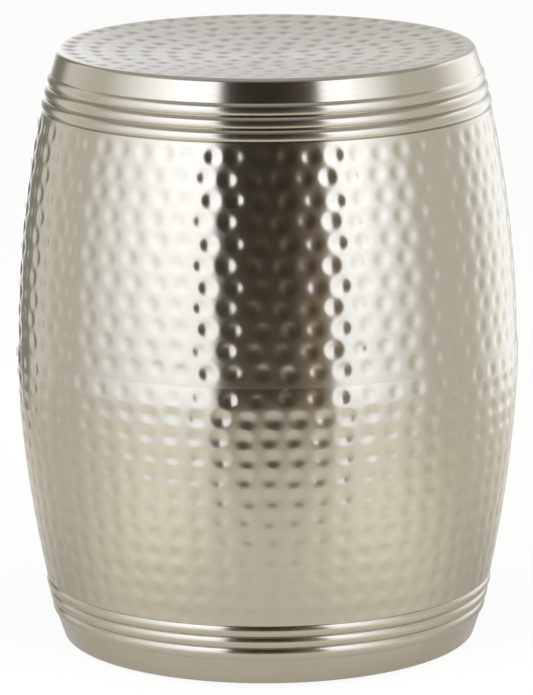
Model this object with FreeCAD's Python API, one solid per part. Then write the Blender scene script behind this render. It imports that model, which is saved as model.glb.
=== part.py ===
import FreeCAD, Part
import math
import os

# Driving dimensions of the whole table, millimetres. Radii are of the outer faces.
table_height = 450.0
seam_height = 231.0
seam_radius = 187.1
sheet_thickness = 1.0

# Rolled beads, the same group of beads near the top and near the foot.
bead_count = 3
bead_pitch = 9.0
bead_bulge = 1.4

# Upper half: dished top, narrow flat rim with a rounded edge, plain flaring band, beads, wall.
dish_depth = 8.0
rim_flat_width = 3.0
rim_corner_radius = 155.3
rim_rounding = 4.0
band_height = 17.0
band_foot_radius = 160.3
upper_bead_foot_radius = 167.2
upper_wall_bulge = 4.4

# Lap at the belly: the lower half's straight band sleeves over the upper half's straight tail.
lap_length = 15.0
lap_clearance = 0.1
tail_clearance = 1.0

# Lower half: lap band, wall, beads, plain tapering foot band, rounded foot edge, flat bottom.
lower_wall_bulge = 3.7
lower_bead_top_radius = 167.4
foot_band_top_radius = 161.2
foot_band_height = 19.5
foot_corner_radius = 154.7
foot_rounding = 3.0

# Wood board bonded on the inside of the flat bottom.
board_thickness = 12.0
board_clearance = 1.0

# Floor glides, which hold the bottom off the floor by their own thickness.
glide_thickness = 3.0
glide_diameter = 26.0
glide_edge_rounding = 0.8
glide_circle_radius = 118.0
glide_places = ["front_left", "front_right", "back_right", "back_left"]
first_glide_angle = 225

# Countersunk glide screws with a crossed slot.
screw_length = 12.0
screw_diameter = 3.5
screw_tip_length = 2.5
screw_head_diameter = 7.0
screw_head_height = 1.8
screw_head_recess = 0.4
screw_clearance = 0.1
pilot_extra_depth = 1.0
slot_length = 3.6
slot_width = 0.8
slot_depth = 1.0

axis_point = FreeCAD.Vector(0, 0, 0)
upright = FreeCAD.Vector(0, 0, 1)


def point(radius, height):
    """A place on the half section that is spun round the table's axis."""
    return FreeCAD.Vector(radius, 0, height)


def line(start, end):
    return Part.LineSegment(start, end).toShape()


def bulging_arc(start, end, bulge):
    """Arc from start down to end whose middle stands out from the chord by bulge."""
    chord = end - start
    outward = FreeCAD.Vector(-chord.z, 0, chord.x).normalize()
    crest = start + chord / 2 + outward * bulge
    return Part.Arc(start, crest, end).toShape()


def dish_arc(centre, edge):
    """Arc that starts level at the dish's centre, on the table's axis, and rises to the dish's edge."""
    depth = edge.z - centre.z
    sphere_radius = (edge.x**2 + depth**2) / (2 * depth)
    half_turn = math.asin(edge.x / sphere_radius) / 2
    middle = centre + point(math.sin(half_turn), 1 - math.cos(half_turn)) * sphere_radius
    return Part.Arc(centre, middle, edge).toShape()


def rounded_corner(before, corner, after, rounding):
    """Where a rounded corner leaves its first line, its arc, and where it joins its second line."""
    to_before = (before - corner).normalize()
    to_after = (after - corner).normalize()
    half_angle = to_before.getAngle(to_after) / 2
    start = corner + to_before * (rounding / math.tan(half_angle))
    end = corner + to_after * (rounding / math.tan(half_angle))
    inward = (to_before + to_after).normalize()
    crest = corner + inward * (rounding / math.sin(half_angle) - rounding)
    return start, Part.Arc(start, crest, end).toShape(), end


def bead_group(top, foot):
    """Rolled beads one below the other, with a crease at top, between them and at foot."""
    step = (foot - top) / bead_count
    return [bulging_arc(top + step * i, top + step * (i + 1), bead_bulge) for i in range(bead_count)]


def spin(section):
    return section.revolve(axis_point, upright, 360)


def spun_sheet(edges):
    """Sheet of even thickness whose outer face follows the edges, spun round the table's axis."""
    section = Part.Wire(edges).makeOffset2D(-sheet_thickness, fill=True, openResult=True)
    return spin(section)


def spun_polygon(points):
    return spin(Part.Face(Part.makePolygon(points + points[:1])))


def cylinder(diameter, height, base):
    return Part.makeCylinder(diameter / 2, height, base)


def on_glide_circle(angle):
    turn = math.radians(angle)
    return FreeCAD.Vector(math.cos(turn), math.sin(turn), 0) * glide_circle_radius


# Places on the half section of the upper half, from the top down.
dish_centre = point(0, table_height - dish_depth)
rim_centre = point(0, table_height)
rim_corner = point(rim_corner_radius, table_height)
band_foot = point(band_foot_radius, table_height - band_height)
upper_bead_foot = point(upper_bead_foot_radius, band_foot.z - bead_count * bead_pitch)
seam = point(seam_radius, seam_height)
tail_end = point(seam_radius, seam_height - lap_length + tail_clearance)
rim_flat_end, rim_arc, band_start = rounded_corner(rim_centre, rim_corner, band_foot, rim_rounding)
dish_edge = point(rim_flat_end.x - rim_flat_width, table_height)

# Places on the half section of the lower half, from the lap down.
lap_radius = seam_radius + lap_clearance + sheet_thickness
bottom_height = glide_thickness
lap_top = point(lap_radius, seam_height)
lap_foot = point(lap_radius, seam_height - lap_length)
foot_band_top = point(foot_band_top_radius, bottom_height + foot_band_height)
lower_bead_top = point(lower_bead_top_radius, foot_band_top.z + bead_count * bead_pitch)
foot_corner = point(foot_corner_radius, bottom_height)
bottom_centre = point(0, bottom_height)
foot_band_end, foot_arc, bottom_flat_end = rounded_corner(
    foot_band_top, foot_corner, bottom_centre, foot_rounding
)

# Centres of the glides on the floor.
glide_centres = {
    place: on_glide_circle(first_glide_angle + 360 * turn / len(glide_places))
    for turn, place in enumerate(glide_places)
}


def make_upper_shell():
    dish = dish_arc(dish_centre, dish_edge)
    rim_flat = line(dish_edge, rim_flat_end)
    band = line(band_start, band_foot)
    beads = bead_group(band_foot, upper_bead_foot)
    wall = bulging_arc(upper_bead_foot, seam, upper_wall_bulge)
    tail = line(seam, tail_end)
    return spun_sheet([dish, rim_flat, rim_arc, band, *beads, wall, tail])


def make_lower_shell():
    lap = line(lap_top, lap_foot)
    wall = bulging_arc(lap_foot, lower_bead_top, lower_wall_bulge)
    beads = bead_group(lower_bead_top, foot_band_top)
    foot_band = line(foot_band_top, foot_band_end)
    flat_bottom = line(bottom_flat_end, bottom_centre)
    shell = spun_sheet([lap, wall, *beads, foot_band, foot_arc, flat_bottom])
    return shell.cut(screw_holes(bottom_height + sheet_thickness))


def screw_holes(top_height):
    """Cutters for the shanks of the glide screws, from the floor up to top_height."""
    diameter = screw_diameter + screw_clearance
    return [cylinder(diameter, top_height, centre) for centre in glide_centres.values()]


def make_base_board():
    """Round board on the flat bottom that holds the glide screws. Its edge follows the foot band's slope."""
    base_height = bottom_height + sheet_thickness
    top_height = base_height + board_thickness
    base_radius = bottom_flat_end.x - board_clearance
    band_slope = (foot_band_top.x - foot_corner.x) / foot_band_height
    top_radius = base_radius + band_slope * board_thickness
    board = spun_polygon([
        point(0, base_height),
        point(base_radius, base_height),
        point(top_radius, top_height),
        point(0, top_height),
    ])
    return board.cut(screw_holes(screw_head_recess + screw_length + pilot_extra_depth))


def screw_form(clearance):
    """A screw that points up from the floor on the table's axis, grown on its sides by clearance."""
    tip_height = screw_head_recess + screw_length
    shank_radius = (screw_diameter + clearance) / 2
    head_radius = (screw_head_diameter + clearance) / 2
    return spun_polygon([
        point(0, screw_head_recess),
        point(head_radius, screw_head_recess),
        point(shank_radius, screw_head_recess + screw_head_height),
        point(shank_radius, tip_height - screw_tip_length),
        point(0, tip_height),
    ])


def make_screw(centre):
    slot_corner = FreeCAD.Vector(-slot_length / 2, -slot_width / 2, 0)
    slot = Part.makeBox(slot_length, slot_width, screw_head_recess + slot_depth, slot_corner)
    crossing_slot = slot.rotated(axis_point, upright, 90)
    return screw_form(0).cut([slot, crossing_slot]).translated(centre)


def make_glide(centre):
    """Plastic disc with a rounded floor edge and a countersunk hole for its screw."""
    disc = cylinder(glide_diameter, glide_thickness, axis_point)
    floor_edges = [edge for edge in disc.Edges if edge.BoundBox.ZMax < glide_thickness / 2]
    disc = disc.makeFillet(glide_edge_rounding, floor_edges)
    mouth = cylinder(screw_head_diameter + screw_clearance, screw_head_recess, axis_point)
    return disc.cut([screw_form(screw_clearance), mouth]).translated(centre)


nodes = {
    "upper_shell": make_upper_shell(),
    "lower_shell": make_lower_shell(),
    "base_board": make_base_board(),
    "glide_screws": Part.makeCompound([make_screw(centre) for centre in glide_centres.values()]),
}
for place, centre in glide_centres.items():
    nodes["glide_" + place] = make_glide(centre)

os.makedirs("parts", exist_ok=True)
for name, shape in nodes.items():
    shape.exportStep(os.path.join("parts", name + ".step"))
    print(f"{name}: {len(shape.Solids)} solid(s), volume {shape.Volume:.0f} mm3, valid {shape.isValid()}")
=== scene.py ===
import bmesh
import bpy
import math
import random
from collections import namedtuple
from mathutils import Matrix, Vector


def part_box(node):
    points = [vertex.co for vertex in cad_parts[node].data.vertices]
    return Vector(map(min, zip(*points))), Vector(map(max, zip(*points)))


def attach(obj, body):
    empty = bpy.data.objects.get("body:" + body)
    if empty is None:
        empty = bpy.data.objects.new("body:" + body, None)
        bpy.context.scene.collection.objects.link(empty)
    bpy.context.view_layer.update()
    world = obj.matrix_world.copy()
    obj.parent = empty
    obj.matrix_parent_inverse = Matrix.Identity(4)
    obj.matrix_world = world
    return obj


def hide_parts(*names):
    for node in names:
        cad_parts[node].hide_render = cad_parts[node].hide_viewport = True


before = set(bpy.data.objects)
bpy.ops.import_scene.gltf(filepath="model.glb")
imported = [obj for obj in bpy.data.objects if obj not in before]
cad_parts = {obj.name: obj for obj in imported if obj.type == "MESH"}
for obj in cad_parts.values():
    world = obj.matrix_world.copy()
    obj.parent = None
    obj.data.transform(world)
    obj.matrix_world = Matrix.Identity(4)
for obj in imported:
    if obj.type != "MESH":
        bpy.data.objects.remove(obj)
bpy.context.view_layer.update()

bl_info = {
    "name": "Hammered Drum Table",
    "version": (1, 0, 0),
    "blender": (4, 5, 0),
    "location": "3D View > Sidebar > Drum Table",
    "description": "Models the hammered shells of a drum side table and finishes its other pieces",
    "category": "Object",
}

# Corners of the two shells in the frame, metres. The driving sizes below start from them.
upper_low, upper_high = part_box("upper_shell")
lower_low, lower_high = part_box("lower_shell")
lap_reach = min(lower_high.x, lower_high.y, -lower_low.x, -lower_low.y)

# Fineness of the meshes. The dished top is a grid whose four sides meet the spun rim point for point.
top_cells = 135
round_steps = 4 * top_cells
sector_count = 18
rim_steps = 7
upper_wall_steps = 90
lower_wall_steps = 86
lap_steps = 6
lap_edge_steps = 4
foot_steps = 5
lining_steps = 6
wall_stop_steps = 12
merge_distance = 1e-5

# Edges that turn by more than this stay sharp in the shading.
sheet_edge_angle = math.radians(45)

# Places along one bead, as shares of its arc, and the share of a wall or band that a crease softens.
bead_shares = (0.012, 0.05, 0.14, 0.26, 0.42, 0.58, 0.74, 0.86, 0.95, 0.988)
crease_share = 0.003
band_crease_share = 0.03

# The half section stands on a diagonal, so that its first point meets a corner of the top's grid.
section_turn = math.radians(45)

# How a mark's floor rises to its lip.
mark_lip_power = 2

table_axis = Vector((0, 0, 1))
board_nodes = ["base_board"]
glide_nodes = ["glide_front_left", "glide_front_right", "glide_back_left", "glide_back_right"]
screw_nodes = ["glide_screws"]

Mark = namedtuple("Mark", "azimuth place radius depth")
MarkRow = namedtuple("MarkRow", "pitch phase marks")


# Settings that the panel shows


def length(name, description, default):
    return bpy.props.FloatProperty(
        name=name, description=description, default=default, precision=4, unit="LENGTH"
    )


def angle(name, description, degrees):
    return bpy.props.FloatProperty(
        name=name, description=description, default=math.radians(degrees), unit="ROTATION"
    )


def factor(name, description, default):
    return bpy.props.FloatProperty(
        name=name, description=description, default=default, min=0, max=1, subtype="FACTOR"
    )


def count(name, description, default):
    return bpy.props.IntProperty(name=name, description=description, default=default, min=1)


def colour(name, description, default):
    return bpy.props.FloatVectorProperty(
        name=name, description=description, default=default, size=3, min=0, soft_max=1, subtype="COLOR"
    )


class DrumShellSizes(bpy.types.PropertyGroup):
    """Half section of the two spun shells. Radii are of the outer faces."""

    table_height: length("Table height", "Height of the rim", upper_high.z)
    seam_height: length("Seam height", "Top edge of the lap at the belly", lower_high.z)
    seam_radius: length("Seam radius", "Upper shell at the seam", upper_high.x)
    lap_radius: length("Lap radius", "Lower shell's band that sleeves over the tail", lap_reach)
    tail_end_height: length("Tail end height", "Hidden lower edge of the upper shell", upper_low.z)
    bottom_height: length("Bottom height", "Underside of the flat bottom", lower_low.z)
    sheet_thickness: length("Sheet thickness", "Thickness of the spun sheet", 0.001)
    lining_depth: length("Lining depth", "Inner face below the wall, clear of the hammer marks", 0.0019)
    bead_count: count("Beads", "Rolled beads in each group", 3)
    bead_pitch: length("Bead pitch", "Height of one bead", 0.009)
    bead_bulge: length("Bead bulge", "How far a bead stands out from its creases", 0.0014)
    crease_depth: length("Crease depth", "Extra depth of the creases away from the plain bands", 0.001)
    dish_depth: length("Dish depth", "How far the middle of the top lies below the rim", 0.008)
    rim_flat_width: length("Rim flat width", "Flat ring between the dish and the rounded rim", 0.003)
    rim_corner_radius: length("Rim corner radius", "Where rim and band would meet", 0.1553)
    rim_rounding: length("Rim rounding", "Radius of the rounded rim", 0.004)
    band_height: length("Band height", "Plain band below the rim", 0.017)
    band_foot_radius: length("Band foot radius", "Crease below the plain band", 0.1603)
    upper_bead_foot_radius: length("Upper bead foot radius", "Crease below the upper beads", 0.1672)
    upper_wall_bulge: length("Upper wall bulge", "Belly of the upper wall beyond its chord", 0.0044)
    lap_length: length("Lap length", "Height of the lap band", 0.015)
    lap_edge_height: length("Lap edge height", "How far down the lap's edge is ground off", 0.01)
    lap_edge_bulge: length("Lap edge bulge", "How far the ground edge stands out", 0.00022)
    lap_foot_rounding: length("Lap foot rounding", "Radius of the soft bend from lap to wall", 0.16)
    lower_wall_bulge: length("Lower wall bulge", "Belly of the lower wall beyond its chord", 0.0037)
    lower_bead_top_radius: length("Lower bead top radius", "Crease above the lower beads", 0.1674)
    foot_band_top_radius: length("Foot band top radius", "Crease above the plain foot band", 0.1612)
    foot_band_height: length("Foot band height", "Plain band at the foot", 0.0195)
    foot_corner_radius: length("Foot corner radius", "Where band and bottom would meet", 0.1547)
    foot_rounding: length("Foot rounding", "Radius of the foot's edge", 0.003)


class DrumHammerMarks(bpy.types.PropertyGroup):
    """Round hammer marks in rows on the wall and in rings on the top"""

    row_count: count("Rows", "Rows of marks on each half of the wall", 11)
    upper_marks_round: count("Upper marks per row", "Marks in one row round the upper half", 60)
    upper_first_height: length("Upper first row", "Height of the highest row", 0.3957)
    upper_row_pitch: length("Upper row pitch", "Drop from row to row on the upper half", 0.0153)
    upper_phase: angle("Upper phase", "Turn of the upper rows from the front", 3.9)
    upper_stagger: angle("Upper stagger", "Turn between neighbouring upper rows", 1.7)
    seam_marks_round: count("Seam marks", "Marks in the row round the seam", 57)
    seam_row_height: length("Seam row height", "Row punched through the lap", 0.2232)
    seam_row_phase: angle("Seam row phase", "Turn of the seam row from the front", 4.0)
    lower_marks_round: count("Lower marks per row", "Marks in one row round the lower half", 64)
    lower_first_height: length("Lower first row", "Highest row of the lower half", 0.2089)
    lower_row_pitch: length("Lower row pitch", "Drop from row to row on the lower half", 0.0151)
    lower_phase: angle("Lower phase", "Turn of the lower rows from the front", 0.6)
    lower_stagger: angle("Lower stagger", "Turn between neighbouring lower rows", 0.8)
    wall_mark_radius: length("Wall mark radius", "Radius of a mark on the wall", 0.0078)
    upper_mark_depth: length("Upper mark depth", "Depth of the marks on the upper half", 0.00082)
    seam_mark_radius: length("Seam mark radius", "Radius of a mark in the seam row", 0.0069)
    seam_mark_depth: length("Seam mark depth", "Depth of the marks in the seam row", 0.0009)
    lower_mark_depth: length("Lower mark depth", "Depth of the marks on the lower half", 0.00078)
    ring_count: count("Rings", "Rings of marks on the top", 8)
    first_ring_radius: length("First ring radius", "Radius of the innermost ring", 0.0145)
    ring_pitch: length("Ring pitch", "Distance from ring to ring, and from mark to mark", 0.0185)
    top_mark_radius: length("Top mark radius", "Radius of a mark on the top", 0.0069)
    top_mark_depth: length("Top mark depth", "Depth of a mark on the top", 0.00095)
    place_unevenness: length("Unevenness of places", "Usual shift of a mark", 0.0005)
    size_unevenness: factor("Unevenness of sizes", "Usual change of a mark's radius", 0.04)
    depth_unevenness: factor("Unevenness of depths", "Usual change of a mark's depth", 0.08)
    seed: count("Seed", "Start of the draws for the unevenness", 7)


class DrumFinishes(bpy.types.PropertyGroup):
    """Colours and gloss of the materials"""

    nickel: colour("Nickel", "Satin nickel plate", (0.447, 0.41, 0.325))
    nickel_stain: colour("Nickel stain", "Duller nickel in the marks and patches", (0.38, 0.34, 0.265))
    nickel_roughness: factor("Nickel roughness", "Mean roughness of the brushed plate", 0.2)
    nickel_brushing: factor("Nickel brushing", "How far brushing draws out reflections", 0.6)
    fibreboard: colour("Fibreboard", "Raw board", (0.36, 0.23, 0.12))
    fibreboard_fleck: colour("Fibreboard fleck", "Dark fibres in the board", (0.2, 0.115, 0.055))
    glide_plastic: colour("Glide plastic", "Moulded black plastic", (0.03, 0.03, 0.03))
    glide_scuff: colour("Glide scuff", "Scuffed plastic", (0.09, 0.09, 0.09))
    screw_steel: colour("Screw steel", "Zinc-plated steel", (0.55, 0.55, 0.53))
    screw_dull: colour("Screw steel, dull", "Zinc plate in the turning marks", (0.38, 0.38, 0.37))


class DrumStudio(bpy.types.PropertyGroup):
    """Camera, floor and light"""

    lens: bpy.props.FloatProperty(
        name="Lens", description="Focal length on a 36 mm long side", default=263.3, unit="CAMERA"
    )
    camera_distance: length("Camera distance", "From the table's axis, level", 3.7267)
    camera_height: length("Camera height", "Above the floor", 1.0385)
    camera_side: length("Camera side", "To the right of the table's axis", -0.0006)
    camera_pitch: angle("Camera pitch", "How far the camera looks down", 12.379)
    camera_roll: angle("Camera roll", "Turn of the camera about its line of sight", -0.379)
    floor_reach: length("Floor reach", "From the table to the floor's edge", 20)
    floor: colour("Floor", "Pale floor in plain view", (1.0, 1.0, 1.0))
    floor_lit: colour("Floor, lit", "Floor where its light and shade show", (0.98, 0.915, 0.8))
    # Painted shade on the floor: close behind the table the lit colour darkens to floor shade, where the
    # table's shadow would fall, within the distances below.
    floor_shade: colour("Floor shade", "Lit floor close behind the table", (0.58, 0.55, 0.5))
    floor_shade_front: length("Floor shade front", "Where the shade begins, to the back", -0.12)
    floor_shade_back: length("Floor shade back", "Where the shade is full, to the back", 0.02)
    floor_shade_core: length("Floor shade core", "How far from the axis the shade is full", 0.16)
    floor_shade_reach: length("Floor shade reach", "How far from the axis the shade has gone", 0.45)
    floor_plainness: factor("Floor plainness", "Share of plain floor that the camera sees", 0.93)
    floor_mirrored_plainness: factor("Mirrored plainness", "Share of plain floor in reflections", 0.2)
    floor_lamp_colour: colour("Floor lamp colour", "Colour of the floor lamps", (0.9, 1.0, 1.12))
    floor_lamp_size: length("Floor lamp size", "Diameter of a floor lamp", 0.2)
    floor_lamp_power: bpy.props.FloatProperty(
        name="Floor lamp power", description="Power of each floor lamp", default=0.52, unit="POWER"
    )
    floor_lamp_side: length("Floor lamp side", "From the middle to a floor lamp", 0.31)
    floor_lamp_front: length("Floor lamp front", "From the axis forward to a floor lamp", 0.33)
    floor_lamp_height: length("Floor lamp height", "Above the floor", 0.24)
    surround: colour("Surround", "Pale walls of the studio", (0.97, 1.0, 1.0))
    haze: colour("Haze", "Duller light from halfway up", (0.56, 0.55, 0.52))
    ceiling: colour("Ceiling", "Light from straight above", (0.72, 0.74, 0.76))
    front_strength: factor("Front strength", "Share of that light that comes from the front", 0.25)
    wall_distance: length("Wall distance", "From the table's axis to the studio's wall", 0.85)
    wall_height: length("Wall height", "Top of the studio's wall", 1.0)
    softbox_foot_light: colour("Softbox foot light", "Softboxes low down", (1.89, 2.03, 2.45))
    softbox_head_light: colour("Softbox head light", "Softboxes high up", (3.0, 3.18, 3.85))
    gap_foot_light: colour("Gap foot light", "Dark gap at the floor", (0.13, 0.11, 0.085))
    gap_head_light: colour("Gap head light", "Dark gap high up", (0.012, 0.012, 0.012))
    gap_side_foot_light: colour("Gap side foot light", "Gap's right side low down", (0.55, 0.45, 0.36))
    gap_side_head_light: colour("Gap side head light", "Gap's right side high up", (0.05, 0.04, 0.03))
    side_light: colour("Side light", "Brighter parts of the wall on the left", (1.12, 1.14, 1.14))
    dull_light: colour("Dull light", "Duller wall behind on the right", (0.8, 0.8, 0.77))
    back_foot_light: colour("Back foot light", "Wall behind at the floor", (1.29, 1.31, 1.38))
    back_head_light: colour("Back head light", "Wall behind high up", (0.83, 0.85, 0.9))
    rim_foot_light: colour("Rim foot light", "Bright strips behind at the floor", (1.65, 1.72, 1.85))
    rim_head_light: colour("Rim head light", "Bright strips behind high up", (2.05, 2.15, 2.42))
    back_shade: colour("Back shade", "Shaded wall behind on the left", (0.33, 0.33, 0.3))


setting_groups = {
    "drum_shell_sizes": DrumShellSizes,
    "drum_hammer_marks": DrumHammerMarks,
    "drum_finishes": DrumFinishes,
    "drum_studio": DrumStudio,
}


# Half sections of the spun shells: a place is (distance from the axis, height)


def even_shares(steps):
    return [step / steps for step in range(1, steps + 1)]


def pairs(items):
    """Each item with the next."""
    return list(zip(items, items[1:]))


def bulged(start, end, bulge, shares):
    """Places at these shares of the arc from start down to end that stands out by bulge."""
    chord = end - start
    forward = chord.normalized()
    outward = Vector((-forward.y, forward.x))
    half_chord = chord.length / 2
    radius = (half_chord**2 + bulge**2) / (2 * bulge)
    half_angle = math.asin(half_chord / radius)
    centre = start + chord / 2 + outward * (bulge - radius)
    turns = [half_angle * (2 * along - 1) for along in shares]
    return [centre + (forward * math.sin(turn) + outward * math.cos(turn)) * radius for turn in turns]


def rounded(before, corner, after, rounding, steps):
    """Places on the rounded corner between the lines to before and after."""
    to_before = (before - corner).normalized()
    to_after = (after - corner).normalized()
    half_angle = to_before.angle(to_after) / 2
    reach = rounding / math.tan(half_angle)
    start = corner + to_before * reach
    end = corner + to_after * reach
    return [start] + bulged(start, end, rounding * (1 - math.sin(half_angle)), even_shares(steps))


def set_in(place, depth):
    """The place moved straight towards the axis."""
    return Vector((place.x - depth, place.y))


def crease_depths(sizes):
    """How much deeper each crease of a bead group is pressed, from the plain band to the wall."""
    return [0] + [sizes.crease_depth] * sizes.bead_count


def bead_group(top, foot, depths, sizes):
    """Rolled beads one below the other, between creases of these depths."""
    step = (foot - top) / sizes.bead_count
    creases = [set_in(top + step * number, depth) for number, depth in enumerate(depths)]
    places = []
    for (first, last), bead_depths in zip(pairs(creases), pairs(depths)):
        bulge = sizes.bead_bulge + sum(bead_depths) / 2
        places += bulged(first, last, bulge, bead_shares)
    return places


def upper_corners(sizes):
    """Corners of the upper shell's section: rim, band foot, bead foot, seam and end of the tail."""
    rim = Vector((sizes.rim_corner_radius, sizes.table_height))
    band_foot = Vector((sizes.band_foot_radius, rim.y - sizes.band_height))
    bead_foot_height = band_foot.y - sizes.bead_count * sizes.bead_pitch
    bead_foot = Vector((sizes.upper_bead_foot_radius, bead_foot_height))
    seam = Vector((sizes.seam_radius, sizes.seam_height))
    tail_end = Vector((sizes.seam_radius, sizes.tail_end_height))
    return rim, band_foot, bead_foot, seam, tail_end


def upper_outside(sizes):
    """Outer face of the upper shell, from the edge of its flat rim down to the end of its tail."""
    rim, band_foot, bead_foot, seam, tail_end = upper_corners(sizes)
    rim_centre = Vector((0, sizes.table_height))
    places = rounded(rim_centre, rim, band_foot, sizes.rim_rounding, rim_steps)
    places += [places[-1].lerp(band_foot, 1 - band_crease_share)]
    places += bead_group(band_foot, bead_foot, crease_depths(sizes), sizes)
    wall_shares = [crease_share, *even_shares(upper_wall_steps)]
    places += bulged(bead_foot, seam, sizes.upper_wall_bulge, wall_shares)
    return places + [tail_end]


def top_height(radius, flat_end, sizes):
    """Height of the unhammered top at this distance from the axis: a dish inside a flat rim."""
    edge_radius = flat_end.x - sizes.rim_flat_width
    if radius >= edge_radius:
        return sizes.table_height
    sphere_radius = (edge_radius**2 + sizes.dish_depth**2) / (2 * sizes.dish_depth)
    rise = sphere_radius - math.sqrt(sphere_radius**2 - radius**2)
    return sizes.table_height - sizes.dish_depth + rise


def upper_inside(sizes, flat_end):
    """Inner face of the upper shell, from the end of its tail up and in to the middle of its top."""
    rim, band_foot, bead_foot, seam, tail_end = upper_corners(sizes)
    wall = bulged(bead_foot, seam, sizes.upper_wall_bulge, even_shares(lining_steps))
    beads = [set_in(place, sizes.crease_depth) for place in (bead_foot, band_foot)]
    lined = [*reversed(wall), *beads]
    places = [tail_end, set_in(tail_end, sizes.sheet_thickness)]
    places += [set_in(place, sizes.lining_depth) for place in lined]
    for along in [0, *even_shares(lining_steps)]:
        radius = flat_end.x * (1 - along)
        places.append(Vector((radius, top_height(radius, flat_end, sizes) - sizes.lining_depth)))
    return places


def lower_corners(sizes):
    """Corners of the lower shell's section: lap top, lap foot, bead top, band top and foot."""
    lap_top = Vector((sizes.lap_radius, sizes.seam_height))
    lap_foot = Vector((sizes.lap_radius, sizes.seam_height - sizes.lap_length))
    band_top = Vector((sizes.foot_band_top_radius, sizes.bottom_height + sizes.foot_band_height))
    bead_top_height = band_top.y + sizes.bead_count * sizes.bead_pitch
    bead_top = Vector((sizes.lower_bead_top_radius, bead_top_height))
    foot = Vector((sizes.foot_corner_radius, sizes.bottom_height))
    return lap_top, lap_foot, bead_top, band_top, foot


def lower_outside(sizes):
    """Outer face of the lower shell, from the inner edge of its lap down to its flat bottom."""
    lap_top, lap_foot, bead_top, band_top, foot = lower_corners(sizes)
    bottom_centre = Vector((0, sizes.bottom_height))
    foot_places = rounded(band_top, foot, bottom_centre, sizes.foot_rounding, foot_steps)
    lap_inside = set_in(lap_top, sizes.sheet_thickness)
    ground_end = Vector((sizes.lap_radius, sizes.seam_height - sizes.lap_edge_height))
    wall_shares = [*even_shares(lower_wall_steps)[:-1], 1 - crease_share]
    wall = bulged(lap_foot, bead_top, sizes.lower_wall_bulge, wall_shares)
    bend = rounded(ground_end, lap_foot, wall[0], sizes.lap_foot_rounding, lap_steps)
    places = [lap_inside]
    places += bulged(lap_inside, ground_end, sizes.lap_edge_bulge, even_shares(lap_edge_steps))
    places += bend + [place for place in wall if place.y < bend[-1].y]
    places += bead_group(bead_top, band_top, crease_depths(sizes)[::-1], sizes)
    places += [band_top.lerp(foot_places[0], band_crease_share)]
    return places + foot_places


def lower_inside(sizes, flat_end):
    """Inner face of the lower shell, from the flat bottom up to the inner edge of its lap."""
    lap_top, lap_foot, bead_top, band_top, foot = lower_corners(sizes)
    wall = bulged(lap_foot, bead_top, sizes.lower_wall_bulge, even_shares(lining_steps))
    beads = [set_in(place, sizes.crease_depth) for place in (band_top, bead_top)]
    lined = [*beads, *reversed(wall[:-1]), lap_foot]
    places = [Vector((flat_end.x, flat_end.y + sizes.sheet_thickness))]
    places += [set_in(place, sizes.lining_depth) for place in lined]
    return places + [set_in(lap_top, sizes.sheet_thickness)]


# Meshes of the shells


def spun(places):
    """A mesh spun from a half section: one sector, which is then repeated round the table's axis."""
    bm = bmesh.new()
    turn = Matrix.Rotation(section_turn, 3, "Z")
    verts = [bm.verts.new(turn @ Vector((place.x, 0, place.y))) for place in places]
    edges = [bm.edges.new(pair) for pair in pairs(verts)]
    sector_turn = math.tau / sector_count
    bmesh.ops.spin(
        bm, geom=verts + edges, cent=(0, 0, 0), axis=table_axis,
        angle=sector_turn, steps=round_steps // sector_count,
    )
    bmesh.ops.spin(
        bm, geom=[*bm.verts, *bm.edges, *bm.faces], cent=(0, 0, 0), axis=table_axis,
        angle=math.tau - sector_turn, steps=sector_count - 1, use_duplicate=True,
    )
    bmesh.ops.remove_doubles(bm, verts=bm.verts, dist=merge_distance)
    return bm


def turn_on_disc(x, y):
    """Where a place on a square ring comes to lie on its circle."""
    if abs(x) >= abs(y):
        return math.pi / 4 * y / x + (math.pi if x < 0 else 0)
    return math.pi / 2 - math.pi / 4 * x / y + (math.pi if y < 0 else 0)


def dished_disc(flat_end, sizes):
    """A grid drawn out to the top's disc: its square rings become circles with evenly spaced points."""
    bm = bmesh.new()
    bmesh.ops.create_grid(bm, x_segments=top_cells, y_segments=top_cells, size=1)
    for vert in bm.verts:
        reach = max(abs(vert.co.x), abs(vert.co.y)) * flat_end.x
        turn = turn_on_disc(vert.co.x, vert.co.y) if reach else 0
        height = top_height(reach, flat_end, sizes)
        vert.co = Vector((math.cos(turn) * reach, math.sin(turn) * reach, height))
    return bm


def joined(parts):
    """One mesh out of several that meet point to point."""
    whole = bmesh.new()
    for part in parts:
        mesh = bpy.data.meshes.new("part")
        part.to_mesh(mesh)
        part.free()
        whole.from_mesh(mesh)
        bpy.data.meshes.remove(mesh)
    bmesh.ops.remove_doubles(whole, verts=whole.verts, dist=merge_distance)
    return whole


def fill_ring(bm, height):
    """Closes the open ring at this height with a flat face."""
    ring = [
        edge for edge in bm.edges
        if edge.is_boundary and all(abs(vert.co.z - height) < merge_distance for vert in edge.verts)
    ]
    bmesh.ops.contextual_create(bm, geom=ring)


def add_shell(bm, name, node, material):
    """Turns the mesh into a piece that stands for a shell of the frame."""
    bmesh.ops.recalc_face_normals(bm, faces=bm.faces)
    mesh = bpy.data.meshes.new(name)
    bm.to_mesh(mesh)
    bm.free()
    mesh.shade_smooth()
    mesh.set_sharp_from_angle(angle=sheet_edge_angle)
    mesh.materials.append(material)
    piece = bpy.data.objects.new(name, mesh)
    bpy.context.scene.collection.objects.link(piece)
    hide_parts(node)
    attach(piece, "root")


# Hammer marks


def azimuth_of(place):
    """Angle from the front of the table, growing to the right."""
    return math.atan2(place.x, -place.y)


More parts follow.
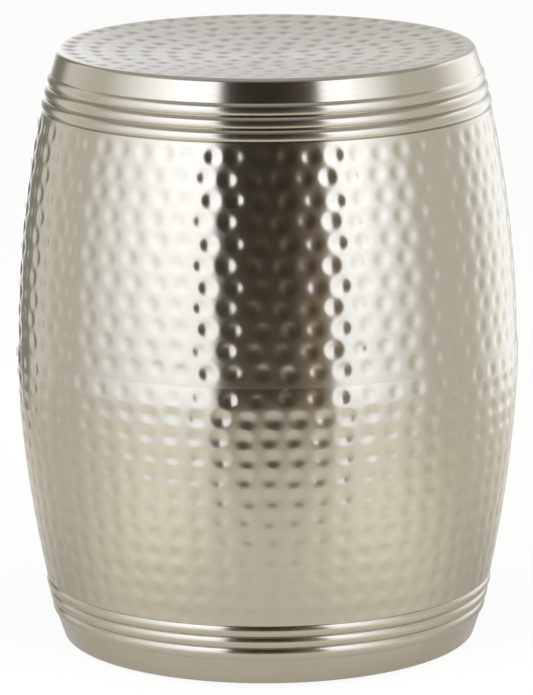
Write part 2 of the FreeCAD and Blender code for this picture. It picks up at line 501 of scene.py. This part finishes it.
def row_of_marks(chance, marks, place, girth_radius, number, phase, radius, depth):
    """A row of marks round the axis, at a height on the wall or at a radius on the top."""
    pitch = math.tau / number
    row = []
    for column in range(number):
        off_turn = chance.gauss(0, marks.place_unevenness) / girth_radius
        off_place = chance.gauss(0, marks.place_unevenness)
        size = 1 + chance.gauss(0, marks.size_unevenness)
        force = 1 + chance.gauss(0, marks.depth_unevenness)
        azimuth = phase + column * pitch + off_turn
        row.append(Mark(azimuth, place + off_place, radius * size, depth * force))
    return MarkRow(pitch, phase, row)


def wall_rows(chance, marks, half, girth_radius):
    """Staggered rows of marks round the upper or the lower half of the wall."""
    def setting(name):
        return getattr(marks, f"{half}_{name}")

    rows = []
    for number in range(marks.row_count):
        phase = setting("phase") + setting("stagger") * (1 / 2 - number % 2)
        height = setting("first_height") - number * setting("row_pitch")
        rows.append(row_of_marks(
            chance, marks, height, girth_radius, setting("marks_round"), phase,
            marks.wall_mark_radius, setting("mark_depth"),
        ))
    return rows


def seam_row(chance, marks, girth_radius):
    """The row of marks that is punched through the lap."""
    return row_of_marks(
        chance, marks, marks.seam_row_height, girth_radius, marks.seam_marks_round,
        marks.seam_row_phase, marks.seam_mark_radius, marks.seam_mark_depth,
    )


def top_rings(chance, marks):
    """Rings of marks on the top, each with its own turn."""
    rings = []
    for number in range(marks.ring_count):
        radius = marks.first_ring_radius + number * marks.ring_pitch
        marks_in_ring = round(math.tau * radius / marks.ring_pitch)
        phase = chance.uniform(0, math.tau)
        rings.append(row_of_marks(
            chance, marks, radius, radius, marks_in_ring, phase,
            marks.top_mark_radius, marks.top_mark_depth,
        ))
    return rings


def mark_depth(rows, azimuth, place, girth_radius):
    """How deep the nearest marks reach at a height on the wall or at a radius on the top."""
    deepest = 0
    for row in rows:
        column = round((azimuth - row.phase) / row.pitch) % len(row.marks)
        mark = row.marks[column]
        along = place - mark.place
        if abs(along) >= mark.radius:
            continue
        off_turn = (azimuth - mark.azimuth + math.pi) % math.tau - math.pi
        squared_share = ((off_turn * girth_radius) ** 2 + along**2) / mark.radius**2
        if squared_share < 1:
            deepest = max(deepest, mark.depth * (1 - squared_share) ** mark_lip_power)
    return deepest


def hammer_wall(bm, rows):
    """Sinks the marks into the wall, towards the axis."""
    depths = bm.verts.layers.float.new("mark_depth")
    for vert in bm.verts:
        girth_radius = vert.co.xy.length
        depth = mark_depth(rows, azimuth_of(vert.co), vert.co.z, girth_radius)
        vert.co.xy *= 1 - depth / girth_radius
        vert[depths] = depth


def hammer_top(bm, rings):
    """Sinks the marks into the dished top."""
    depths = bm.verts.layers.float.new("mark_depth")
    for vert in bm.verts:
        radius = vert.co.xy.length
        depth = mark_depth(rings, azimuth_of(vert.co), radius, radius)
        vert.co.z -= depth
        vert[depths] = depth


# Materials


def node_adder(tree):
    """Empties a node tree and gives a function that adds a node to it."""
    tree.nodes.clear()

    def add(kind, inputs=None, **options):
        node = tree.nodes.new(kind)
        for option, value in options.items():
            setattr(node, option, value)
        for socket, value in (inputs or {}).items():
            if isinstance(value, bpy.types.NodeSocket):
                tree.links.new(value, node.inputs[socket])
            else:
                node.inputs[socket].default_value = value
        return node

    return add


def new_material(name):
    material = bpy.data.materials.new(name)
    material.use_nodes = True
    return material, node_adder(material.node_tree)


def rgba(values):
    """A colour for a socket; a colour that comes from another socket stays as it is."""
    return values if isinstance(values, bpy.types.NodeSocket) else (*values, 1)


def maths(add, operation, *values):
    node = add("ShaderNodeMath", dict(enumerate(values)), operation=operation)
    return node.outputs["Value"]


def mixed(add, amount, first, second):
    """A colour between two colours."""
    node = add("ShaderNodeMixRGB", {"Fac": amount, "Color1": rgba(first), "Color2": rgba(second)})
    return node.outputs["Color"]


def mapped(add, value, low, high):
    """The value, from 0 to 1, drawn out between low and high."""
    node = add("ShaderNodeMapRange", {"Value": value, "To Min": low, "To Max": high})
    return node.outputs["Result"]


def picked_out(add, value, low, high):
    """0 where the value has come to low, 1 where it has come to high, and even steps between them."""
    node = add("ShaderNodeMapRange", {"Value": value, "From Min": low, "From Max": high})
    return node.outputs["Result"]


def noise(add, place, scale, detail):
    """Cloudy noise; scale gives its fineness along each axis, in grains per metre."""
    stretched = add("ShaderNodeMapping", {"Vector": place, "Scale": scale}).outputs["Vector"]
    return add("ShaderNodeTexNoise", {"Vector": stretched, "Scale": 1, "Detail": detail}).outputs["Fac"]


def bumped(add, height, strength, depth):
    """Normals of a surface that the height, from 0 to 1, raises by up to depth."""
    inputs = {"Height": height, "Strength": strength, "Distance": depth}
    return add("ShaderNodeBump", inputs).outputs["Normal"]


def finish_surface(add, inputs):
    shader = add("ShaderNodeBsdfPrincipled", inputs)
    add("ShaderNodeOutputMaterial", {"Surface": shader.outputs["BSDF"]})


def brushing_place(add, place):
    """Coordinates whose Z grows down the wall and out over the top, across the brush lines."""
    axes = add("ShaderNodeSeparateXYZ", {"Vector": place}).outputs
    level = add("ShaderNodeCombineXYZ", {"X": axes["X"], "Y": axes["Y"]}).outputs["Vector"]
    radius = add("ShaderNodeVectorMath", {0: level}, operation="LENGTH").outputs["Value"]
    across = maths(add, "SUBTRACT", radius, axes["Z"])
    return add("ShaderNodeCombineXYZ", {"X": axes["X"], "Y": axes["Y"], "Z": across}).outputs["Vector"]


def nickel_material(finishes):
    """Nickel plate, brushed round the axis, with faint patches and a duller tone in the marks."""
    brush_grain = (9, 9, 1400)
    patch_grain = (14, 14, 14)
    brush_detail, patch_detail = 3, 4
    roughness_spread = 0.04
    bump_strength, bump_depth = 0.15, 0.0001
    quarter_turn = 1 / 4

    # Share of stain for each metre of a mark's depth, in a full patch and in a full brush line.
    mark_stain, patch_stain, brush_stain = 190, 0.25, 0.45

    material, add = new_material("nickel_plate")
    place = add("ShaderNodeTexCoord").outputs["Object"]
    brush = noise(add, brushing_place(add, place), brush_grain, brush_detail)
    patches = noise(add, place, patch_grain, patch_detail)
    marks = add("ShaderNodeAttribute", attribute_name="mark_depth").outputs["Fac"]
    stain = maths(add, "MULTIPLY", patches, patch_stain)
    stain = maths(add, "MULTIPLY_ADD", marks, mark_stain, stain)
    stain = maths(add, "MULTIPLY_ADD", brush, brush_stain, stain)
    low = finishes.nickel_roughness - roughness_spread
    high = finishes.nickel_roughness + roughness_spread
    bump = bumped(add, brush, bump_strength, bump_depth)
    tangent = add("ShaderNodeTangent", direction_type="RADIAL", axis="Z")
    finish_surface(add, {
        "Base Color": mixed(add, stain, finishes.nickel, finishes.nickel_stain),
        "Metallic": 1,
        "Roughness": mapped(add, brush, low, high),
        "Anisotropic": finishes.nickel_brushing,
        "Anisotropic Rotation": quarter_turn,
        "Tangent": tangent.outputs["Tangent"],
        "Normal": bump,
    })
    return material


def fibreboard_material(finishes):
    """Raw board with short dark fibres."""
    fibre_grain, fibre_detail = (260, 520, 900), 5
    fleck_shares = 0.42, 0.68
    roughness_range = 0.7, 0.95
    bump_strength, bump_depth = 0.3, 0.0002

    material, add = new_material("raw_fibreboard")
    place = add("ShaderNodeTexCoord").outputs["Object"]
    fibres = noise(add, place, fibre_grain, fibre_detail)
    flecks = picked_out(add, fibres, *fleck_shares)
    finish_surface(add, {
        "Base Color": mixed(add, flecks, finishes.fibreboard, finishes.fibreboard_fleck),
        "Roughness": mapped(add, fibres, *roughness_range),
        "Normal": bumped(add, fibres, bump_strength, bump_depth),
    })
    return material


def glide_material(finishes):
    """Moulded black plastic with a fine matt grain and paler scuffs."""
    moulded_grain, moulded_detail = (1800, 1800, 1800), 2
    scuff_grain, scuff_detail = (160, 160, 160), 5
    scuff_shares = 0.5, 0.8
    roughness_range = 0.45, 0.7
    bump_strength, bump_depth = 0.25, 0.0001

    material, add = new_material("moulded_plastic")
    place = add("ShaderNodeTexCoord").outputs["Object"]
    grain = noise(add, place, moulded_grain, moulded_detail)
    scuffs = picked_out(add, noise(add, place, scuff_grain, scuff_detail), *scuff_shares)
    finish_surface(add, {
        "Base Color": mixed(add, scuffs, finishes.glide_plastic, finishes.glide_scuff),
        "Roughness": mapped(add, scuffs, *roughness_range),
        "Normal": bumped(add, grain, bump_strength, bump_depth),
    })
    return material


def screw_material(finishes):
    """Zinc-plated steel with turning marks."""
    turning_grain, turning_detail = (300, 300, 4000), 3
    roughness_range = 0.25, 0.5

    material, add = new_material("plated_steel")
    place = add("ShaderNodeTexCoord").outputs["Object"]
    lines = noise(add, place, turning_grain, turning_detail)
    finish_surface(add, {
        "Base Color": mixed(add, lines, finishes.screw_steel, finishes.screw_dull),
        "Metallic": 1,
        "Roughness": mapped(add, lines, *roughness_range),
    })
    return material


def dress_nodes(names, material):
    """Gives nodes of the frame that stay in view their finished material."""
    for name in names:
        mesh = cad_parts[name].data
        mesh.materials.clear()
        mesh.materials.append(material)


# Stage


def add_stage_object(bm, name, material):
    mesh = bpy.data.meshes.new(name)
    bm.to_mesh(mesh)
    bm.free()
    mesh.materials.append(material)
    thing = bpy.data.objects.new(name, mesh)
    bpy.context.scene.collection.objects.link(thing)
    return thing


def floor_material(studio):
    """Pale floor, seen partly in its plain colour and partly in its light and shade, with a shadow
    painted into its lit colour close behind the table.
    """
    material, add = new_material("pale_floor")
    path = add("ShaderNodeLightPath").outputs
    mirrored = maths(add, "MAXIMUM", path["Is Glossy Ray"], path["Is Transmission Ray"])
    plain_share = maths(add, "MULTIPLY", mirrored, studio.floor_mirrored_plainness)
    plain_share = maths(add, "MULTIPLY_ADD", path["Is Camera Ray"], studio.floor_plainness, plain_share)
    place = add("ShaderNodeTexCoord").outputs["Object"]
    backward = add("ShaderNodeSeparateXYZ", {"Vector": place}).outputs["Y"]
    distance = add("ShaderNodeVectorMath", {0: place}, operation="LENGTH").outputs["Value"]
    # Painted shade: the lit colour darkens behind the table and near its foot, where the table's shadow
    # would fall.
    behind = picked_out(add, backward, studio.floor_shade_front, studio.floor_shade_back)
    near = picked_out(add, distance, studio.floor_shade_reach, studio.floor_shade_core)
    painted_shade = maths(add, "MULTIPLY", behind, near)
    lit_colour = mixed(add, painted_shade, studio.floor_lit, studio.floor_shade)
    lit = add("ShaderNodeBsdfDiffuse", {"Color": lit_colour}).outputs["BSDF"]
    plain = add("ShaderNodeEmission", {"Color": rgba(studio.floor)}).outputs["Emission"]
    floor = add("ShaderNodeMixShader", {0: plain_share, 1: lit, 2: plain})
    add("ShaderNodeOutputMaterial", {"Surface": floor.outputs["Shader"]})
    return material


def add_floor(studio):
    bm = bmesh.new()
    bmesh.ops.create_grid(bm, x_segments=1, y_segments=1, size=studio.floor_reach)
    add_stage_object(bm, "floor", floor_material(studio))


def glow_material():
    """The wall of the studio glows as its own attribute says."""
    material, add = new_material("studio_glow")
    glow = add("ShaderNodeAttribute", attribute_name="glow")
    light = add("ShaderNodeEmission", {"Color": glow.outputs["Color"]})
    add("ShaderNodeOutputMaterial", {"Surface": light.outputs["Emission"]})
    return material


def stop(azimuth, foot_light, head_light, lean=0):
    """A place round the wall, in degrees to the right of the front, and its light at foot and head.

    Its head leans to the right by lean and its foot to the left.
    """
    return (azimuth - lean, foot_light), (azimuth + lean, head_light)


def wall_stops(studio):
    """Where the light of the wall changes, from behind round the left, the front and the right."""
    gap_lean = -2
    pale = studio.surround, studio.surround
    softbox = studio.softbox_foot_light, studio.softbox_head_light
    gap = studio.gap_foot_light, studio.gap_head_light
    gap_side = studio.gap_side_foot_light, studio.gap_side_head_light
    side = studio.side_light, studio.side_light
    dull = studio.dull_light, studio.dull_light
    back = studio.back_foot_light, studio.back_head_light
    rim = studio.rim_foot_light, studio.rim_head_light
    left_rim = studio.rim_head_light, studio.back_foot_light
    shade = studio.back_shade, studio.back_shade
    return [
        stop(-180, *back), stop(-172, *back), stop(-164, *left_rim), stop(-156, *left_rim),
        stop(-151, *side), stop(-143, *shade), stop(-130, *shade), stop(-122, *side), stop(-112, *side),
        stop(-100, *pale), stop(-88, *pale), stop(-43, *softbox),
        stop(-22.4, *softbox, gap_lean), stop(-21.6, *gap, gap_lean), stop(8, *gap), stop(27, *gap_side),
        stop(28, *softbox), stop(40, *softbox), stop(71, *pale), stop(98, *pale),
        stop(123, *rim), stop(138, *rim), stop(154, *dull), stop(166, *dull), stop(180, *back),
    ]


def add_wall(studio):
    """A round wall with two softboxes and a dark gap between them, through which the camera looks."""
    heights = 0, studio.wall_height
    bm = bmesh.new()
    glow = bm.verts.layers.float_color.new("glow")
    for first, last in pairs(wall_stops(studio)):
        columns = []
        for along in [0, *even_shares(wall_stop_steps)]:
            column = []
            for height, (first_turn, first_light), (last_turn, last_light) in zip(heights, first, last):
                turn = math.radians(first_turn + (last_turn - first_turn) * along)
                level_place = Vector((math.sin(turn), -math.cos(turn), 0)) * studio.wall_distance
                vert = bm.verts.new(level_place + table_axis * height)
                vert[glow] = rgba(Vector(first_light).lerp(Vector(last_light), along))
                column.append(vert)
            columns.append(bm.edges.new(column))
        for pair in pairs(columns):
            bmesh.ops.bridge_loops(bm, edges=pair)
    wall = add_stage_object(bm, "studio_wall", glow_material())
    wall.visible_camera = False


def add_floor_lamps(studio):
    """Low lamps that brighten the floor on both sides of the front. Reflections don't show them."""
    for name, side in (("left_floor_lamp", -1), ("right_floor_lamp", 1)):
        data = bpy.data.lights.new(name, "AREA")
        data.shape = "DISK"
        data.size = studio.floor_lamp_size
        data.color = studio.floor_lamp_colour
        data.energy = studio.floor_lamp_power
        lamp = bpy.data.objects.new(name, data)
        lamp.location.x = side * studio.floor_lamp_side
        lamp.location.y = -studio.floor_lamp_front
        lamp.location.z = studio.floor_lamp_height
        lamp.visible_camera = False
        lamp.visible_glossy = False
        bpy.context.scene.collection.objects.link(lamp)


def light_world(studio):
    """Pale walls all round, duller light halfway up and a grey ceiling, all weaker from the front."""
    # The light changes between these parts of a direction, to the back or up, from -1 to 1.
    front_edges = -0.8, -0.1
    haze_rises = 0.1, 0.55
    ceiling_rises = 0.55, 0.9

    world = bpy.data.worlds.new("studio")
    world.use_nodes = True
    add = node_adder(world.node_tree)
    direction = add("ShaderNodeTexCoord").outputs["Generated"]
    axes = add("ShaderNodeSeparateXYZ", {"Vector": direction}).outputs
    rise = axes["Z"]
    clear_of_front = picked_out(add, axes["Y"], *front_edges)
    low_light = mixed(add, picked_out(add, rise, *haze_rises), studio.surround, studio.haze)
    whole_light = mixed(add, picked_out(add, rise, *ceiling_rises), low_light, studio.ceiling)
    strength = mapped(add, clear_of_front, studio.front_strength, 1)
    light = add("ShaderNodeBackground", {"Color": whole_light, "Strength": strength})
    add("ShaderNodeOutputWorld", {"Surface": light.outputs["Background"]})
    bpy.context.scene.world = world


def add_camera(studio):
    data = bpy.data.cameras.new("camera")
    data.lens = studio.lens
    camera = bpy.data.objects.new("camera", data)
    tilt = Matrix.Rotation(math.pi / 2 - studio.camera_pitch, 4, "X")
    roll = Matrix.Rotation(studio.camera_roll, 4, "Z")
    place = Matrix.Translation((studio.camera_side, -studio.camera_distance, studio.camera_height))
    camera.matrix_world = place @ tilt @ roll
    bpy.context.scene.collection.objects.link(camera)
    bpy.context.scene.camera = camera


# Operators, one for each piece or group of like pieces, and one for the stage


class DRUM_OT_upper_shell(bpy.types.Operator):
    """Spin and hammer the upper shell with its dished top"""

    bl_idname = "drum.upper_shell"
    bl_label = "Upper shell"

    def execute(self, context):
        scene = context.scene
        sizes, marks = scene.drum_shell_sizes, scene.drum_hammer_marks
        chance = random.Random(marks.seed)
        outside = upper_outside(sizes)
        wall = spun(outside)
        hammer_wall(wall, wall_rows(chance, marks, "upper", sizes.seam_radius))
        top = dished_disc(outside[0], sizes)
        hammer_top(top, top_rings(chance, marks))
        bm = joined([wall, top, spun(upper_inside(sizes, outside[0]))])
        add_shell(bm, "hammered_upper_shell", "upper_shell", nickel_material(scene.drum_finishes))
        return {"FINISHED"}


class DRUM_OT_lower_shell(bpy.types.Operator):
    """Spin and hammer the lower shell with its lap and flat bottom"""

    bl_idname = "drum.lower_shell"
    bl_label = "Lower shell"

    def execute(self, context):
        scene = context.scene
        sizes, marks = scene.drum_shell_sizes, scene.drum_hammer_marks
        chance = random.Random(marks.seed + 1)
        outside = lower_outside(sizes)
        rows = [seam_row(chance, marks, sizes.lap_radius)]
        rows += wall_rows(chance, marks, "lower", sizes.lap_radius)
        wall = spun(outside)
        hammer_wall(wall, rows)
        bm = joined([wall, spun(lower_inside(sizes, outside[-1]))])
        fill_ring(bm, sizes.bottom_height)
        fill_ring(bm, sizes.bottom_height + sizes.sheet_thickness)
        add_shell(bm, "hammered_lower_shell", "lower_shell", bpy.data.materials["nickel_plate"])
        return {"FINISHED"}


class DRUM_OT_board(bpy.types.Operator):
    """Finish the board inside the bottom"""

    bl_idname = "drum.board"
    bl_label = "Board"

    def execute(self, context):
        dress_nodes(board_nodes, fibreboard_material(context.scene.drum_finishes))
        return {"FINISHED"}


class DRUM_OT_glides(bpy.types.Operator):
    """Finish the floor glides"""

    bl_idname = "drum.glides"
    bl_label = "Glides"

    def execute(self, context):
        dress_nodes(glide_nodes, glide_material(context.scene.drum_finishes))
        return {"FINISHED"}


class DRUM_OT_screws(bpy.types.Operator):
    """Finish the glide screws"""

    bl_idname = "drum.screws"
    bl_label = "Screws"

    def execute(self, context):
        dress_nodes(screw_nodes, screw_material(context.scene.drum_finishes))
        return {"FINISHED"}


class DRUM_OT_stage(bpy.types.Operator):
    """Set the floor, the light and the camera"""

    bl_idname = "drum.stage"
    bl_label = "Stage"

    def execute(self, context):
        studio = context.scene.drum_studio
        add_floor(studio)
        add_wall(studio)
        add_floor_lamps(studio)
        light_world(studio)
        add_camera(studio)
        context.scene.view_settings.view_transform = "Standard"
        return {"FINISHED"}


operators = [
    DRUM_OT_upper_shell,
    DRUM_OT_lower_shell,
    DRUM_OT_board,
    DRUM_OT_glides,
    DRUM_OT_screws,
    DRUM_OT_stage,
]


class DRUM_PT_table(bpy.types.Panel):
    """Lists the steps that build the table, and their settings"""

    bl_idname = "DRUM_PT_table"
    bl_label = "Drum Table"
    bl_space_type = "VIEW_3D"
    bl_region_type = "UI"
    bl_category = "Drum Table"

    def draw(self, context):
        for operator in operators:
            self.layout.operator(operator.bl_idname)
        for name, group in setting_groups.items():
            box = self.layout.box()
            for setting in group.__annotations__:
                box.prop(getattr(context.scene, name), setting)


def register():
    for group in setting_groups.values():
        bpy.utils.register_class(group)
    for name, group in setting_groups.items():
        setattr(bpy.types.Scene, name, bpy.props.PointerProperty(type=group))
    for listed in [*operators, DRUM_PT_table]:
        bpy.utils.register_class(listed)


def unregister():
    for listed in [*operators, DRUM_PT_table]:
        bpy.utils.unregister_class(listed)
    for name, group in setting_groups.items():
        delattr(bpy.types.Scene, name)
        bpy.utils.unregister_class(group)


def main():
    register()
    bpy.ops.drum.upper_shell()
    bpy.ops.drum.lower_shell()
    bpy.ops.drum.board()
    bpy.ops.drum.glides()
    bpy.ops.drum.screws()
    bpy.ops.drum.stage()


if __name__ == "__main__":
    main()
